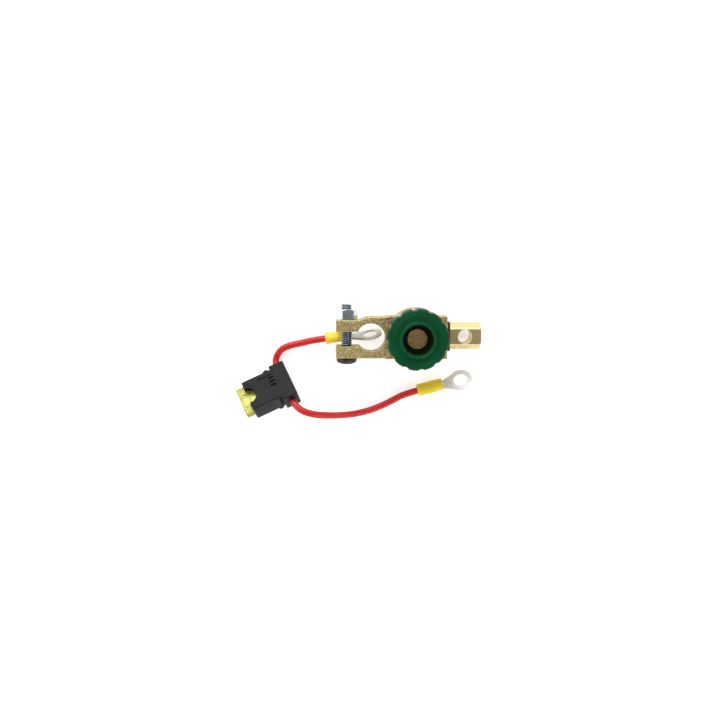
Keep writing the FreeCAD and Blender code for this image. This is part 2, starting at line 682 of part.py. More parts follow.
def fuse_contact(side):
    """Folded box contact with two dimples on the blade, and the crimped wire barrel."""
    head_end = -HOLDER_L / 2 - FUSE_OUT + FUSE_HEAD + POCKET_FREE + CONTACT_PLAY
    bar_x = HOLDER_L / 2 - BAR_L / 2
    end = head_end + CONTACT_L
    w = CONTACT_W / 2
    h = CONTACT_H / 2
    t = CONTACT_WALL
    body = box(head_end, end, -w, w, -h, h)
    body = body.cut(box(head_end, end, t - w, w - t, t - h, h - t))
    dimple_r = h - t - BLADE_T / 2 - DIMPLE_FREE
    for up in (-1, 1):
        at = Vector(head_end + DIMPLE_AT, t - w, up * (h - t))
        bump = Part.makeCylinder(dimple_r, CONTACT_W - 2 * t, at, Y_AXIS)
        body = body.fuse(bump.common(box(head_end, end, t - w, w - t, t - h, h - t)))
    body = body.translated(Vector(0, side * BLADE_AT, 0))
    web = box(end - t, bar_x, -CRIMP_R, CRIMP_R, -h, t - h)
    body = body.fuse(web.translated(Vector(0, side * BLADE_AT, 0)))
    start = Vector(bar_x, side * (BLADE_AT - CRIMP_R), 0)
    barrel_l = BAR_W / 2 - CRIMP_END - BLADE_AT + CRIMP_R
    barrel = Part.makeCylinder(CRIMP_R, barrel_l, start, Y_AXIS * side)
    return body.fuse(barrel).removeSplitter()


def fuse_body():
    """Moulded head of the blade fuse, waisted under its shoulders, with a test window."""
    front = -HOLDER_L / 2 - FUSE_OUT
    back = front + FUSE_HEAD
    half = FUSE_W / 2
    waist = half - FUSE_SHOULDER
    step = back - FUSE_WAIST
    outline = [(front, -half), (step, -half), (step, -waist), (back, -waist),
               (back, waist), (step, waist), (step, half), (front, half)]
    body = prism(outline, -FUSE_T / 2, FUSE_T / 2)
    body = body.makeFillet(FUSE_ROUND, edges_along(body, Z_AXIS, lambda p: abs(p.y) > waist))
    for up in (-1, 1):
        low, high = sorted((up * FUSE_T / 2, up * (FUSE_T / 2 - FUSE_WINDOW_D)))
        x0 = front + FUSE_WINDOW_END
        x1 = back - FUSE_WINDOW_END
        body = body.cut(box(x0, x1, -FUSE_WINDOW_W / 2, FUSE_WINDOW_W / 2, low, high))
    return body.cut(fuse_link()).removeSplitter()


def fuse_link():
    """Two blades and the thin bridge between them, stamped from one strip of zinc."""
    front = -HOLDER_L / 2 - FUSE_OUT
    back = front + FUSE_HEAD
    root = front + FUSE_ROUND
    tip = back + BLADE_L
    t = BLADE_T / 2
    half = BLADE_W / 2
    link = None
    for side in (-1, 1):
        outline = [(root, -half), (tip - BLADE_TIP, -half), (tip, -half / 2), (tip, half / 2),
                   (tip - BLADE_TIP, half), (root, half)]
        blade = prism(outline, -t, t).translated(Vector(0, side * BLADE_AT, 0))
        link = blade if link is None else link.fuse(blade)
    inner = BLADE_AT - half
    bridge = box(root + LINK_RISE - LINK_W, root + LINK_RISE, -inner, inner, -t, t)
    return link.fuse(bridge).removeSplitter()


def cable_routes():
    """The points that each cable follows, from its crimp in the holder to its terminal."""
    bar_x = HOLDER_L / 2 - BAR_L / 2
    inner = BAR_W / 2 - CRIMP_END
    pose = holder_pose()
    eye_a = terminal_pose(EYE_A_AT, EYE_A_YAW, EYE_A_PITCH, EYE_A_ROLL)
    eye_b = terminal_pose(EYE_B_AT, EYE_B_YAW, EYE_B_PITCH, EYE_B_ROLL)
    route_a = [
        pose.multVec(Vector(bar_x, inner, 0)),
        pose.multVec(Vector(bar_x, inner + LEAD_A_OUT, 0)),
        *LEAD_A_VIA,
        eye_a.multVec(Vector(-LEAD_A_IN, 0, 0)),
        eye_a.multVec(Vector(SLEEVE_STRIP, 0, 0)),
    ]
    route_b = [
        pose.multVec(Vector(bar_x, -inner, 0)),
        pose.multVec(Vector(bar_x, -inner - LEAD_B_OUT, 0)),
        *LEAD_B_VIA,
        eye_b.multVec(Vector(-LEAD_B_IN, 0, 0)),
        eye_b.multVec(Vector(SLEEVE_STRIP, 0, 0)),
    ]
    return route_a, route_b


def holder_pose():
    """Resting on a rounded corner of its cross bar, held up by the stiff cable at the other end."""
    level = Rotation(Z_AXIS, HOLDER_YAW).multiply(Rotation(Y_AXIS, HOLDER_PITCH))
    turn = level.multiply(Rotation(X_AXIS, HOLDER_ROLL))
    corner = turn.multVec(Vector(HOLDER_L / 2, BAR_W / 2, -HOLDER_T / 2))
    return Placement(Vector(HOLDER_AT.x, HOLDER_AT.y, -corner.z - HOLDER_SINK), turn)


def main():
    pose = holder_pose()
    eye_a = terminal_pose(EYE_A_AT, EYE_A_YAW, EYE_A_PITCH, EYE_A_ROLL)
    eye_b = terminal_pose(EYE_B_AT, EYE_B_YAW, EYE_B_PITCH, EYE_B_ROLL)
    route_a, route_b = cable_routes()
    parts = {
        "clamp_casting": clamp_casting(),
        "stud_casting": stud_casting(),
        "insulator_plate": insulator_plate(),
        "bush_front": bush(-1),
        "bush_rear": bush(1),
        "tie_screws": Part.makeCompound([tie_screw(-1), tie_screw(1)]),
        "clamp_bolt": clamp_bolt(),
        "clamp_nut": clamp_nut(),
        "knob": knob(),
        "contact_screw": contact_screw(),
        "knob_seal": knob_seal(),
        "ring_terminal_a": ring_terminal().transformed(eye_a.toMatrix()),
        "ring_terminal_b": ring_terminal().transformed(eye_b.toMatrix()),
        "sleeve_a": sleeve().transformed(eye_a.toMatrix()),
        "sleeve_b": sleeve().transformed(eye_b.toMatrix()),
        "cable_a": cable("cable_a", route_a),
        "cable_b": cable("cable_b", route_b),
        "holder_top": holder_top().transformed(pose.toMatrix()),
        "holder_bottom": holder_bottom().transformed(pose.toMatrix()),
        "fuse_contact_a": fuse_contact(1).transformed(pose.toMatrix()),
        "fuse_contact_b": fuse_contact(-1).transformed(pose.toMatrix()),
        "fuse_body": fuse_body().transformed(pose.toMatrix()),
        "fuse_link": fuse_link().transformed(pose.toMatrix()),
    }
    os.makedirs("parts", exist_ok=True)
    for name, shape in parts.items():
        shape.translate(KNOB_CENTRE * -1)
        if not shape.isValid():
            print("not valid:", name)
        shape.exportStep("parts/" + name + ".step")
        print(name, "solids", len(shape.Solids), "volume", round(shape.Volume, 1),
              "low", round(shape.BoundBox.ZMin, 2), "high", round(shape.BoundBox.ZMax, 2))
    print("route a", [tuple(round(c, 2) for c in p) for p in route_a])
    print("route b", [tuple(round(c, 2) for c in p) for p in route_b])


main()
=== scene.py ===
# %% [markdown]
# Anti-theft battery terminal. A brass clamp grips the battery post, a green knob screws the
# clamp and the cable stud together or apart, and a short fused lead bridges the two.
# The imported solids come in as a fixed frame. This script dresses them: it gives each solid
# its finish, and it models again the pieces whose real form is rounder or finer than a solid
# needs to be: the clamp bolt, the body of the fuse and the two cables.

# %% Load the frame
import math

import bpy
from mathutils import Matrix, Vector


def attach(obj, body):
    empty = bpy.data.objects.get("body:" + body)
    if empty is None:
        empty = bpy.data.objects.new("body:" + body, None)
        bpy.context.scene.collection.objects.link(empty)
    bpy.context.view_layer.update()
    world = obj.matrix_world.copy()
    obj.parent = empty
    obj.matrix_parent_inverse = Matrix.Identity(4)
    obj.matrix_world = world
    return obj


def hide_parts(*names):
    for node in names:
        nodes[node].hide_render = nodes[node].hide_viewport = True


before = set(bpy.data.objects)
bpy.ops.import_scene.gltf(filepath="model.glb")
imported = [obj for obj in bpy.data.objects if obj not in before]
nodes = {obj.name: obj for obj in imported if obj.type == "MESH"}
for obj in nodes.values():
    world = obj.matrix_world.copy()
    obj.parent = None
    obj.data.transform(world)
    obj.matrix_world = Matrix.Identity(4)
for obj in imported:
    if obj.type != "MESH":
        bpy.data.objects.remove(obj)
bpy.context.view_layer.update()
MM = 0.001
print("solids loaded:", len(nodes))

# %% [markdown]
# The frame has its origin under the knob. The battery post is 27.45 mm away along -X, and
# the lead's route is measured from the post, so one helper turns such a point into metres.

# %% Points measured from the battery post
POST_FROM_KNOB = 27.45


def from_post(x, y, z):
    return Vector(((x - POST_FROM_KNOB) * MM, y * MM, z * MM))


print("post axis at", tuple(from_post(0, 0, 0)))

# %% [markdown]
# The terminal was photographed from above, a little from its nut side. A 35 mm lens on a
# 36 mm sensor gives the same angle of view, and the camera looks down with 8 degrees of tilt.

# %% Camera
CAMERA_TILT = 8.0
CAMERA_AT = (-33.93, 45.30, 439.08)

camera_data = bpy.data.cameras.new("camera")
camera_data.lens = 35.0
camera_data.sensor_width = 36.0
camera_data.clip_start = 0.01
camera = bpy.data.objects.new("camera", camera_data)
camera.location = Vector(CAMERA_AT) * MM
camera.rotation_euler = (math.radians(-CAMERA_TILT), 0, 0)
bpy.context.scene.collection.objects.link(camera)
bpy.context.scene.camera = camera
bpy.context.scene.view_settings.view_transform = "Standard"
print("camera at", tuple(camera.location))

# %% [markdown]
# A finish is a tree of nodes. Nearly every node needs the same things: it is added, it gets
# its own settings, and its inputs get plain values. One helper does that. In a call of it an
# input's name has _ where the screen shows a space, so From_Min stands for From Min. The
# second helper multiplies two values, which is how one mask limits another.

# %% Helpers that add nodes


def add_node(tree, kind, settings=None, **inputs):
    node = tree.nodes.new("ShaderNode" + kind)
    for name, value in (settings or {}).items():
        setattr(node, name, value)
    for name, value in inputs.items():
        node.inputs[name.replace("_", " ")].default_value = value
    return node


def product(tree, first, second, clamp=False):
    """First times second, where second is a number or another node's value."""
    times = add_node(tree, "Math", {"operation": "MULTIPLY", "use_clamp": clamp})
    tree.links.new(first, times.inputs[0])
    if isinstance(second, float):
        times.inputs[1].default_value = second
    else:
        tree.links.new(second, times.inputs[1])
    return times.outputs[0]


print("node helpers ready")

# %% [markdown]
# A product picture like this is taken on white paper under large soft lamps. The white must
# not come from more light on the object, so the paper and the room are only brighter for
# rays that end in the picture. Those come from the camera, from a mirror or through glass.

# %% Rays that see the background


def seen_directly(tree):
    """1 for rays from the camera, from a mirror or through glass, 0 for light on things."""
    path = add_node(tree, "LightPath")
    total = path.outputs["Is Camera Ray"]
    for name in ("Is Glossy Ray", "Is Transmission Ray"):
        add = add_node(tree, "Math", {"operation": "ADD", "use_clamp": True})
        tree.links.new(total, add.inputs[0])
        tree.links.new(path.outputs[name], add.inputs[1])
        total = add.outputs[0]
    return total


print("background rays sorted")

# %% [markdown]
# The paper is a plain pale floor. It glows a little for the rays just sorted out, so it
# comes out white, and it is matt and lit like any surface, so it takes the soft shadow.

# %% Floor
FLOOR_COLOUR = (0.84, 0.84, 0.84, 1)
FLOOR_GLOW = 0.56
FLOOR_SIZE = 6.0

paper = bpy.data.materials.new("paper")
paper.use_nodes = True
tree = paper.node_tree
shader = tree.nodes["Principled BSDF"]
shader.inputs["Base Color"].default_value = FLOOR_COLOUR
shader.inputs["Roughness"].default_value = 0.9
shader.inputs["Specular IOR Level"].default_value = 0.1
glow = add_node(tree, "Emission")
tree.links.new(product(tree, seen_directly(tree), FLOOR_GLOW), glow.inputs["Strength"])
both = add_node(tree, "AddShader")
tree.links.new(shader.outputs[0], both.inputs[0])
tree.links.new(glow.outputs[0], both.inputs[1])
tree.links.new(both.outputs[0], tree.nodes["Material Output"].inputs["Surface"])

bpy.ops.object.select_all(action="DESELECT")
bpy.ops.mesh.primitive_plane_add(size=FLOOR_SIZE, location=(0, 0, 0))
floor = bpy.context.object
floor.name = "floor"
floor.data.materials.append(paper)
print("floor laid")

# %% [markdown]
# The room gives even fill from all sides. Its ceiling is dark, as the place behind a camera
# is, so faces that look straight up turn darker than their sloping neighbours. The flats of
# the nut show that best. The walls are white where the picture or a mirror sees them.

# %% World
WALL_LIGHT = 0.72
SEEN_WALL_LIGHT = 1.0
CEILING_LIGHT = 0.2
CEILING_FROM = 0.62
CEILING_FULL = 0.93

world = bpy.data.worlds.new("room")
bpy.context.scene.world = world
world.use_nodes = True
tree = world.node_tree
tree.nodes.clear()
direction = add_node(tree, "TexCoord")
split = add_node(tree, "SeparateXYZ")
tree.links.new(direction.outputs["Generated"], split.inputs[0])
choose = add_node(tree, "MixShader")
tree.links.new(seen_directly(tree), choose.inputs["Fac"])
for socket, wall_light in ((1, WALL_LIGHT), (2, SEEN_WALL_LIGHT)):
    ceiling = add_node(tree, "MapRange", {"interpolation_type": "SMOOTHSTEP"},
                       From_Min=CEILING_FROM, From_Max=CEILING_FULL,
                       To_Min=wall_light, To_Max=CEILING_LIGHT)
    tree.links.new(split.outputs["Z"], ceiling.inputs["Value"])
    room = add_node(tree, "Background", Color=(1, 1, 1, 1))
    tree.links.new(ceiling.outputs["Result"], room.inputs["Strength"])
    tree.links.new(room.outputs[0], choose.inputs[socket])
output = add_node(tree, "OutputWorld")
tree.links.new(choose.outputs[0], output.inputs["Surface"])
print("room lit")

# %% [markdown]
# Metal needs something to mirror, so the lamps are large panels and not points. A broad one
# stands over the nut side, as in the picture, and two weaker ones open up the shadows.

# %% Lamps
LAMPS = {
    "key_lamp": {"at": (-0.2, 0.75, 0.45), "size": (0.7, 0.5), "power": 5.0},
    "fill_lamp": {"at": (0.35, -0.55, 0.55), "size": (0.6, 0.4), "power": 1.8},
    "rim_lamp": {"at": (-0.6, -0.2, 0.35), "size": (0.4, 0.3), "power": 1.0},
}
for name, panel in LAMPS.items():
    light = bpy.data.lights.new(name, "AREA")
    light.shape = "RECTANGLE"
    light.size, light.size_y = panel["size"]
    light.energy = panel["power"]
    lamp = bpy.data.objects.new(name, light)
    lamp.location = panel["at"]
    lamp.rotation_euler = (-Vector(panel["at"])).to_track_quat("-Z", "Y").to_euler()
    bpy.context.scene.collection.objects.link(lamp)
print("lamps:", len(LAMPS))

# %% [markdown]
# Helpers for the modelling cells. An operator acts on all that is selected, so each piece
# starts with nothing selected. A piece is closed by applying what is left of its placement,
# smoothing its faces, giving it its finish, hanging it on the body it rides on and hiding the
# solids it replaces.

# %% Helpers for the pieces


def fresh_start():
    if bpy.context.mode != "OBJECT":
        bpy.ops.object.mode_set(mode="OBJECT")
    bpy.ops.object.select_all(action="DESELECT")


def only(piece):
    fresh_start()
    piece.select_set(True)
    bpy.context.view_layer.objects.active = piece


def apply_all(piece):
    only(piece)
    for modifier in list(piece.modifiers):
        bpy.ops.object.modifier_apply(modifier=modifier.name)


def close_piece(piece, name, material, body="base", smooth=35, replaces=()):
    only(piece)
    piece.name = name
    bpy.ops.object.transform_apply(location=True, rotation=True, scale=True)
    bpy.ops.object.shade_smooth_by_angle(angle=math.radians(smooth))
    piece.data.materials.clear()
    piece.data.materials.append(material)
    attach(piece, body)
    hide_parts(*replaces)
    print(name, "faces:", len(piece.data.polygons))
    return piece


print("piece helpers ready")

# %% [markdown]
# Most of the finishes share a few effects, so each effect is one node group with named
# inputs and outputs, built once. This helper makes an empty group with its sockets.

# %% Start of a node group
FLOAT = "NodeSocketFloat"
VECTOR = "NodeSocketVector"


def new_group(name, inputs, outputs):
    group = bpy.data.node_groups.new(name, "ShaderNodeTree")
    for label, kind, value in inputs:
        socket = group.interface.new_socket(label, in_out="INPUT", socket_type=kind)
        if value is not None:
            socket.default_value = value
    for label, kind in outputs:
        group.interface.new_socket(label, in_out="OUTPUT", socket_type=kind)
    return group, group.nodes.new("NodeGroupInput"), group.nodes.new("NodeGroupOutput")


print("group helper ready")

# %% [markdown]
# Grain is the fine speckle of a casting or a moulding. It gives a tone mask and a height, so
# the same pits that look dark are also low. Fine noise alone looks like fog, so the height
# mixes it with the cells of a Voronoi pattern, which stand for grains of sand.

# %% Grain
CELL_SHARE = 0.55

grain, start, end = new_group(
    "grain",
    [("Vector", VECTOR, None), ("Scale", FLOAT, 1500.0), ("Depth", FLOAT, 0.5)],
    [("Speckle", FLOAT), ("Height", FLOAT)])
fine = add_node(grain, "TexNoise", Detail=4.0, Roughness=0.65)
cells = add_node(grain, "TexVoronoi", {"feature": "F1"})
mixed = add_node(grain, "Mix", {"data_type": "FLOAT"})
stretch = add_node(grain, "MapRange", From_Min=0.36, From_Max=0.64)
link = grain.links.new
link(start.outputs["Vector"], fine.inputs["Vector"])
link(start.outputs["Vector"], cells.inputs["Vector"])
link(start.outputs["Scale"], fine.inputs["Scale"])
link(product(grain, start.outputs["Scale"], CELL_SHARE), cells.inputs["Scale"])
link(start.outputs["Depth"], mixed.inputs["Factor"])
link(fine.outputs["Fac"], mixed.inputs["A"])
link(cells.outputs["Distance"], mixed.inputs["B"])
link(fine.outputs["Fac"], stretch.inputs["Value"])
link(stretch.outputs["Result"], end.inputs["Speckle"])
link(mixed.outputs["Result"], end.inputs["Height"])
print("group:", grain.name)

# %% [markdown]
# Handling is the slow cloudy change of gloss that fingers and time leave on every surface.
# Wide noise drives the roughness between a low and a high value that each finish gives.

# %% Handling
handling, start, end = new_group(
    "handling",
    [("Vector", VECTOR, None), ("Scale", FLOAT, 90.0), ("Low", FLOAT, 0.3), ("High", FLOAT, 0.5)],
    [("Roughness", FLOAT), ("Cloud", FLOAT)])
cloud = add_node(handling, "TexNoise", Detail=3.0)
span = add_node(handling, "MapRange", From_Min=0.3, From_Max=0.7)
link = handling.links.new
link(start.outputs["Vector"], cloud.inputs["Vector"])
link(start.outputs["Scale"], cloud.inputs["Scale"])
link(cloud.outputs["Fac"], span.inputs["Value"])
link(start.outputs["Low"], span.inputs["To Min"])
link(start.outputs["High"], span.inputs["To Max"])
link(span.outputs["Result"], end.inputs["Roughness"])
link(cloud.outputs["Fac"], end.inputs["Cloud"])
print("group:", handling.name)

# %% [markdown]
# Turning is the set of fine rings that a lathe tool cuts round the Z axis. A Wave texture
# draws rings, and a little distortion keeps them from looking printed.

# %% Turning
turning, start, end = new_group(
    "turning",
    [("Vector", VECTOR, None), ("Scale", FLOAT, 500.0)],
    [("Rings", FLOAT)])
rings = add_node(turning, "TexWave", {"wave_type": "RINGS", "rings_direction": "Z"},
                 Distortion=0.6, Detail=3.0, Detail_Scale=2.0)
link = turning.links.new
link(start.outputs["Vector"], rings.inputs["Vector"])
link(start.outputs["Scale"], rings.inputs["Scale"])
link(rings.outputs["Fac"], end.inputs["Rings"])
print("group:", turning.name)

# %% [markdown]
# Edge wear and painted highlight. Outer edges get a lighter tone: on the metals it is rubbed
# wear, on the plastics and the fuse it is a painted highlight. Edges are never quite sharp. The
# Bevel node gives the normal that a rounded edge would have. Where it differs from the flat
# normal there is an edge: that makes the mask, and the rounded normal itself softens the edge in
# the light.

# %% Edge wear and painted highlight
EDGE_RADIUS = 0.0004

edge_wear_and_highlight, start, end = new_group(
    "edge_wear_and_highlight",
    [("Amount", FLOAT, 1.0)],
    [("Mask", FLOAT), ("Normal", VECTOR)])
soft = add_node(edge_wear_and_highlight, "Bevel", {"samples": 6}, Radius=EDGE_RADIUS)
flat = add_node(edge_wear_and_highlight, "NewGeometry")
alike = add_node(edge_wear_and_highlight, "VectorMath", {"operation": "DOT_PRODUCT"})
near = add_node(edge_wear_and_highlight, "MapRange", From_Min=0.995, From_Max=0.86)
link = edge_wear_and_highlight.links.new
link(soft.outputs["Normal"], alike.inputs[0])
link(flat.outputs["Normal"], alike.inputs[1])
link(alike.outputs["Value"], near.inputs["Value"])
wear_and_highlight_here = product(edge_wear_and_highlight, near.outputs["Result"], start.outputs["Amount"], clamp=True)
link(wear_and_highlight_here, end.inputs["Mask"])
link(soft.outputs["Normal"], end.inputs["Normal"])
print("group:", edge_wear_and_highlight.name)

# %% [markdown]
# Some changes of tone keep to the middle of a round form, such as the roots of a thread.
# This group measures how far a point is from an axis. Flatten holds 1 for the two directions
# that count and 0 for the axis itself.

# %% Distance from an axis
around, start, end = new_group(
    "around",
    [("Vector", VECTOR, None), ("Centre", VECTOR, (0, 0, 0)), ("Flatten", VECTOR, (1, 1, 0)),
     ("Inner", FLOAT, 0.009), ("Outer", FLOAT, 0.0095)],
    [("Inside", FLOAT)])
away = add_node(around, "VectorMath", {"operation": "SUBTRACT"})
across = add_node(around, "VectorMath", {"operation": "MULTIPLY"})
far = add_node(around, "VectorMath", {"operation": "LENGTH"})
fade = add_node(around, "MapRange", To_Min=1.0, To_Max=0.0)
link = around.links.new
link(start.outputs["Vector"], away.inputs[0])
link(start.outputs["Centre"], away.inputs[1])
link(away.outputs["Vector"], across.inputs[0])
link(start.outputs["Flatten"], across.inputs[1])
link(across.outputs["Vector"], far.inputs[0])
link(far.outputs["Value"], fade.inputs["Value"])
link(start.outputs["Inner"], fade.inputs["From Min"])
link(start.outputs["Outer"], fade.inputs["From Max"])
link(fade.outputs["Result"], end.inputs["Inside"])
print("group:", around.name)

# %% [markdown]
# Colours are written as a screen shows them, from 0 to 255, and turned into the light they
# stand for. Two more helpers place a group in a material and mix two colours by a mask.

# %% Tones and mixes


def tone(r, g, b):
    out = []
    for value in (r, g, b):
        c = value / 255
        out.append(c / 12.92 if c <= 0.04045 else ((c + 0.055) / 1.055) ** 2.4)
    return (*out, 1)


def place(tree, group, vector=None, **values):
    node = add_node(tree, "Group", {"node_tree": group}, **values)
    if vector:
        tree.links.new(vector, node.inputs["Vector"])
    return node


def blend_tones(tree, factor, dark, light):
    """Mix two colours, each either a fixed tone or another node's colour."""
    mix = add_node(tree, "Mix", {"data_type": "RGBA"})
    for socket, colour in ((6, dark), (7, light)):
        if isinstance(colour, tuple):
            mix.inputs[socket].default_value = colour
        else:
            tree.links.new(colour, mix.inputs[socket])
    tree.links.new(factor, mix.inputs["Factor"])
    return mix.outputs[2]


print("a middle tone:", tuple(round(part, 3) for part in tone(128, 128, 128)))

# %% [markdown]
# One recipe makes most of the finishes: a dark and a light tone that the grain mixes, a
# roughness that handling varies, and a bump from the grain's height. Each finish gives its
# own tones, its own grains per metre and its own depth. Where speckle is off, the slow cloud
# mixes the tones instead, as on a smooth moulding.

# %% Recipe for a finish
BUMP_HEIGHT = 0.0002


def finish(name, dark, light, metal, gloss, grains, depth, bump,
           speckle=True, wear_and_highlight_tone=None, amount=0.5):
    material = bpy.data.materials.new(name)
    material.use_nodes = True
    tree = material.node_tree
    shader = tree.nodes["Principled BSDF"]
    where = add_node(tree, "TexCoord").outputs["Object"]
    fine = place(tree, grain, where, Scale=grains, Depth=depth)
    hands = place(tree, handling, where, Low=gloss[0], High=gloss[1])
    edge = place(tree, edge_wear_and_highlight, Amount=amount)
    factor = fine.outputs["Speckle"] if speckle else hands.outputs["Cloud"]
    colour = blend_tones(tree, factor, dark, light)
    # Lighter edges: rubbed wear on the metals, a painted highlight on the plastics and the fuse.
    if wear_and_highlight_tone:
        colour = blend_tones(tree, edge.outputs["Mask"], colour, wear_and_highlight_tone)
    tree.links.new(colour, shader.inputs["Base Color"])
    tree.links.new(hands.outputs["Roughness"], shader.inputs["Roughness"])
    shader.inputs["Metallic"].default_value = metal
    raised = add_node(tree, "Bump", Strength=bump, Distance=BUMP_HEIGHT)
    tree.links.new(fine.outputs["Height"], raised.inputs["Height"])
    tree.links.new(edge.outputs["Normal"], raised.inputs["Normal"])
    tree.links.new(raised.outputs["Normal"], shader.inputs["Normal"])
    return material


print("recipe ready")

# %% [markdown]
# Brass. The clamp is cast in sand and tumbled, so its skin is dull and full of fine pits.
# The stud casting is turned and milled and much paler. The screw end in the knob is given a
# dark brown tone and is the least metallic of the three.

# %% Brass finishes
cast_brass = finish(
    "cast_brass", tone(110, 88, 44), tone(234, 214, 156), metal=0.65, gloss=(0.4, 0.58),
    grains=1550, depth=0.4, bump=0.5, wear_and_highlight_tone=tone(226, 212, 168), amount=0.45)
stud_brass = finish(
    "stud_brass", tone(212, 188, 128), tone(240, 222, 172), metal=0.85, gloss=(0.22, 0.34),
    grains=1500, depth=0.3, bump=0.12, wear_and_highlight_tone=tone(255, 246, 222), amount=0.5)
screw_brass = finish(
    "screw_brass", tone(88, 60, 24), tone(240, 202, 132), metal=0.4, gloss=(0.45, 0.6),
    grains=1900, depth=0.4, bump=0.4, wear_and_highlight_tone=tone(176, 150, 100), amount=0.4)
print("brass finishes: 3")

# %% [markdown]
# Plated metals. Nut and screws are zinc plated steel, bright and a little blue. The bolt's
# head is blackened, because it takes the most wear. The ring terminals and the contacts are
# tinned, which is paler and softer in its gloss.

# %% Plated metal finishes
zinc = finish(
    "zinc_steel", tone(196, 200, 208), tone(232, 236, 242), metal=1.0, gloss=(0.16, 0.28),
    grains=900, depth=0.2, bump=0.06, speckle=False, wear_and_highlight_tone=tone(246, 248, 250), amount=0.5)
bolt_steel = finish(
    "bolt_steel", tone(150, 164, 186), tone(206, 218, 234), metal=1.0, gloss=(0.18, 0.3),
    grains=900, depth=0.2, bump=0.08, speckle=False)
head_black = finish(
    "head_black", tone(30, 27, 25), tone(74, 66, 58), metal=0.5, gloss=(0.34, 0.48),
    grains=1500, depth=0.4, bump=0.5, wear_and_highlight_tone=tone(104, 98, 90), amount=0.5)
tin = finish(
    "tinned_copper", tone(240, 241, 242), tone(250, 251, 252), metal=0.15, gloss=(0.2, 0.32),
    grains=700, depth=0.2, bump=0.06, speckle=False, wear_and_highlight_tone=tone(250, 250, 250), amount=0.5)
tin_brass = finish(
    "tinned_brass", tone(188, 182, 166), tone(222, 216, 202), metal=1.0, gloss=(0.28, 0.4),
    grains=700, depth=0.2, bump=0.08, speckle=False)
fuse_zinc = finish(
    "fuse_metal", tone(176, 176, 180), tone(214, 214, 220), metal=1.0, gloss=(0.3, 0.45),
    grains=800, depth=0.2, bump=0.1, speckle=False)
print("plated finishes: 6")

# %% [markdown]
# Plastics and rubber. A moulded face has a very fine texture and only a slow change of
# tone. The cable's skin is smoother and glossier than the knob's, and the sleeves are soft
# vinyl. The knob and the holder mirror less than a clean plastic does, so their level of
# mirror light is lowered on the shader itself.

# %% Plastic and rubber finishes
# The lighter edge tones of the knob, the sleeves and the holder are painted highlights.
green = finish(
    "green_plastic", tone(0, 54, 27), tone(0, 82, 43), metal=0.0, gloss=(0.34, 0.46),
    grains=1300, depth=0.4, bump=0.5, speckle=False, wear_and_highlight_tone=tone(30, 122, 80), amount=0.45)
fibre = finish(
    "brown_fibre", tone(44, 24, 16), tone(88, 56, 38), metal=0.0, gloss=(0.55, 0.7),
    grains=1400, depth=0.5, bump=0.4)
nylon = finish(
    "white_nylon", tone(206, 202, 192), tone(228, 225, 218), metal=0.0, gloss=(0.35, 0.45),
    grains=900, depth=0.2, bump=0.08, speckle=False)
rubber = finish(
    "seal_rubber", tone(16, 16, 16), tone(34, 34, 34), metal=0.0, gloss=(0.6, 0.75),
    grains=1200, depth=0.3, bump=0.2)
vinyl = finish(
    "yellow_sleeve", tone(255, 218, 40), tone(255, 230, 66), metal=0.0, gloss=(0.34, 0.46),
    grains=700, depth=0.2, bump=0.1, speckle=False, wear_and_highlight_tone=tone(250, 226, 96), amount=0.4)
red = finish(
    "red_insulation", tone(194, 10, 10), tone(216, 23, 19), metal=0.0, gloss=(0.3, 0.42),
    grains=600, depth=0.2, bump=0.07, speckle=False)
black = finish(
    "black_plastic", tone(12, 12, 17), tone(25, 25, 32), metal=0.0, gloss=(0.3, 0.42),
    grains=1300, depth=0.3, bump=0.3, speckle=False, wear_and_highlight_tone=tone(96, 96, 102), amount=0.35)
for plastic, level in ((green, 0.15), (black, 0.13)):
    plastic.node_tree.nodes["Principled BSDF"].inputs["Specular IOR Level"].default_value = level
print("plastic finishes: 7")

# %% [markdown]
# The blade fuse is clear tinted plastic. A plain transmission lets the room and the metal
# link show through it, and its tone is lighter than it looks, because light crosses it twice.

# %% Clear fuse plastic
# The lighter edge tone of the fuse is a painted highlight.
clear = finish(
    "clear_yellow", tone(222, 212, 36), tone(234, 228, 80), metal=0.0, gloss=(0.05, 0.12),
    grains=500, depth=0.2, bump=0.05, speckle=False, wear_and_highlight_tone=tone(252, 246, 170), amount=0.6)
shader = clear.node_tree.nodes["Principled BSDF"]
shader.inputs["Transmission Weight"].default_value = 0.75
shader.inputs["IOR"].default_value = 1.5
print("clear plastic ready")

# %% [markdown]
# Four finishes change from place to place on their piece. Each change is one more mix in
# front of the base colour, driven by where a point is. These helpers read the place, turn a
# height into a mask, and put the new mix in front.

# %% Helpers for local changes


def object_place(tree):
    return next(n for n in tree.nodes if n.type == "TEX_COORD").outputs["Object"]


def between_heights(tree, low, high, at_low, at_high):
    """A value that runs from at_low to at_high between two heights in millimetres."""
    split = add_node(tree, "SeparateXYZ")
    tree.links.new(object_place(tree), split.inputs[0])
    span = add_node(tree, "MapRange", From_Min=low * MM, From_Max=high * MM,
                    To_Min=at_low, To_Max=at_high)
    tree.links.new(split.outputs["Z"], span.inputs["Value"])
    return span.outputs["Result"]


def repaint(material, factor, colour):
    tree = material.node_tree
    base = tree.nodes["Principled BSDF"].inputs["Base Color"]
    before = base.links[0].from_socket
    tree.links.new(blend_tones(tree, factor, before, colour), base)


print("local helpers ready")

# %% [markdown]
# The recess of the knob gets painted shade, a near-black green. It is what lies near the axis
# and below the bead, so one mask for each of the two is multiplied.

# %% Painted shade in the knob's recess
tree = green.node_tree
recess = place(tree, around, object_place(tree), Inner=8.9 * MM, Outer=9.5 * MM)
below_bead = between_heights(tree, 33.9, 35.5, 0.94, 0.0)
repaint(green, product(tree, recess.outputs["Inside"], below_bead), tone(6, 14, 8))
print("recess of the knob darkened")

